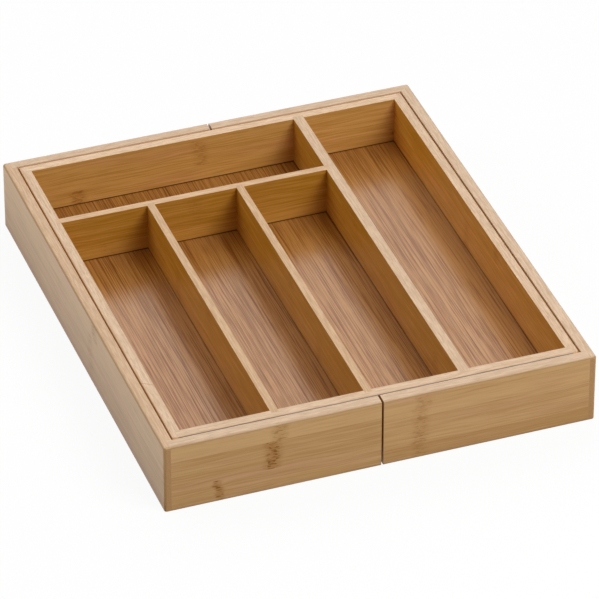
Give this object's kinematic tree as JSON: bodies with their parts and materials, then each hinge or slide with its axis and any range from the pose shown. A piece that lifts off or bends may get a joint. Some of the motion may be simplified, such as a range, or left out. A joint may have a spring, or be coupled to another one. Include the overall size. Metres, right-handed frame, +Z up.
{
  "type": "expandable cutlery tray",
  "caption": "Expandable bamboo cutlery tray: an inner tray with long, cross and full-depth compartments in an outer frame whose two halves slide out sideways to fit a drawer.",
  "frame": {"origin": "on the surface the tray stands on, under the middle of the closed tray", "axes": "+X to the right along the front wall, +Y to the back along the long compartments, +Z up"},
  "size_m": [0.33, 0.385, 0.0565],
  "materials": {
    "outer_bamboo": "laminated bamboo, satin oil",
    "inner_bamboo": "laminated bamboo, satin oil",
    "divider_bamboo": "laminated bamboo, satin oil",
    "floor_bamboo": "thin bamboo panel, satin oil",
    "tongue_bamboo": "bare bamboo"
  },
  "bodies": {
    "inner_tray": {"inner_front_wall": "inner_bamboo", "inner_back_wall": "inner_bamboo", "inner_left_wall": "inner_bamboo", "inner_right_wall": "inner_bamboo", "long_divider": "divider_bamboo", "cross_divider": "divider_bamboo", "left_short_divider": "divider_bamboo", "right_short_divider": "divider_bamboo", "inner_floor": "floor_bamboo", "front_left_tongue": "tongue_bamboo", "front_right_tongue": "tongue_bamboo", "back_left_tongue": "tongue_bamboo", "back_right_tongue": "tongue_bamboo"},
    "left_half": {"left_side_wall": "outer_bamboo", "left_front_wall": "outer_bamboo", "left_back_wall": "outer_bamboo", "left_floor": "floor_bamboo"},
    "right_half": {"right_side_wall": "outer_bamboo", "right_front_wall": "outer_bamboo", "right_back_wall": "outer_bamboo", "right_floor": "floor_bamboo"}
  },
  "joints": [
    {"name": "left_slide", "type": "slide", "parent": "inner_tray", "child": "left_half", "axis": [-1, 0, 0], "range_m": [0, 0.105]},
    {"name": "right_slide", "type": "slide", "parent": "inner_tray", "child": "right_half", "axis": [1, 0, 0], "range_m": [0, 0.105]}
  ]
}
